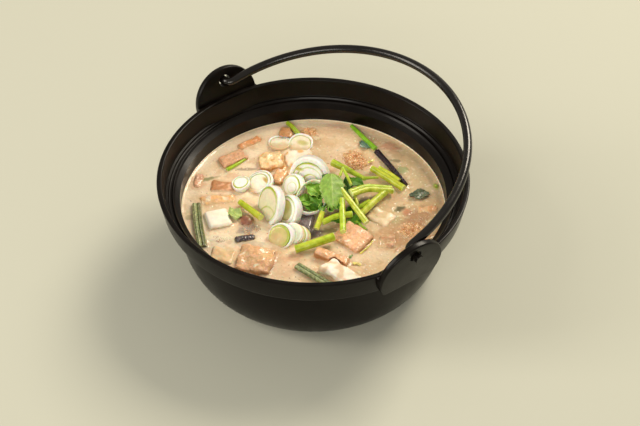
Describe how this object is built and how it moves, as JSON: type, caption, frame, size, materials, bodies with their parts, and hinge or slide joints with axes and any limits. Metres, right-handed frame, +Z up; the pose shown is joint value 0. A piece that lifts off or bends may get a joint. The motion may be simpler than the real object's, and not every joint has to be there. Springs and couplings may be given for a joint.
{
  "type": "iron hot pot of natto soup",
  "caption": "Round cast-iron hot pot with ears and a bail handle, holding natto soup with tofu, fried tofu, leek slices and green stems.",
  "frame": {"origin": "centre of the pot's base, on the surface it stands on", "axes": "+Z up, X along the line through both ears, which is the bail's axis, +Y towards the side over which the bail leans"},
  "size_m": [0.22, 0.2, 0.1067],
  "materials": {
    "pot": "satin black baked finish, fine cast grain",
    "handle": "satin black, slightly smoother than the pot",
    "soup": "opaque creamy beige broth, wet gloss",
    "tofu": "soft white, moist, faintly porous",
    "fried_tofu": "golden to orange-brown fried skin, creased and moist",
    "konnyaku": "translucent grey jelly with dark specks",
    "leek": "white with pale green layers, wet and slightly translucent",
    "stem": "bright yellow-green, fine lengthwise ribs",
    "leaf": "matte mid-green leaf with paler veins",
    "dark_greens": "dark olive cooked greens, wet",
    "dark_stalk": "near-black purple, wet",
    "mushroom": "reddish-brown, slippery gloss",
    "natto": "orange-brown fermented soybeans, sticky gloss"
  },
  "bodies": {
    "pot": {"pot": "pot", "soup": "soup", "tofu_cube": "tofu", "tofu_corner": "tofu", "tofu_pale": "tofu", "tofu_large": "tofu", "tofu_sunk": "tofu", "fried_tofu_wedge": "fried_tofu", "fried_tofu_browned": "fried_tofu", "fried_tofu_chunk": "fried_tofu", "fried_tofu_smooth": "fried_tofu", "fried_tofu_pale": "fried_tofu", "fried_tofu_bar": "fried_tofu", "fried_tofu_strip": "fried_tofu", "fried_tofu_far": "fried_tofu", "fried_tofu_large": "fried_tofu", "fried_tofu_corner": "fried_tofu", "fried_tofu_sunk": "fried_tofu", "fried_tofu_wall": "fried_tofu", "fried_tofu_edge": "fried_tofu", "konnyaku_block": "konnyaku", "konnyaku_strip": "konnyaku", "leek_band": "leek", "leek_domino_front": "leek", "leek_domino_back": "leek", "leek_tall": "leek", "leek_leaning": "leek", "leek_chunk": "leek", "leek_fanned": "leek", "leek_flat_small": "leek", "leek_flat_large": "leek", "leek_sunk_left": "leek", "leek_sunk_right": "leek", "stem_long": "stem", "stem_upright": "stem", "stem_fork": "stem", "stem_split": "stem", "stem_thick": "stem", "stem_cross": "stem", "stem_low": "stem", "stem_short": "stem", "stem_front": "stem", "stem_side": "stem", "stem_far_pair": "stem", "leek_green_sliver": "stem", "stem_far_wall": "stem", "stem_bright": "stem", "leaf_large": "leaf", "leaf_frill": "leaf", "leaf_dark": "dark_greens", "green_scrap_right": "dark_greens", "green_scrap_far": "dark_greens", "stalk_left": "dark_greens", "stalk_front": "dark_greens", "stalk_purple": "dark_stalk", "mushroom_cap": "mushroom", "natto_mound": "natto", "natto_clump_far": "natto", "natto_clump_right": "natto"},
    "bail": {"bail_handle": "handle"}
  },
  "joints": [
    {"name": "bail_hinge", "type": "hinge", "parent": "pot", "child": "bail", "pos_m": [0, 0, 0.081], "axis": [1, 0, 0], "range_deg": [-17.5, 170.5]}
  ]
}
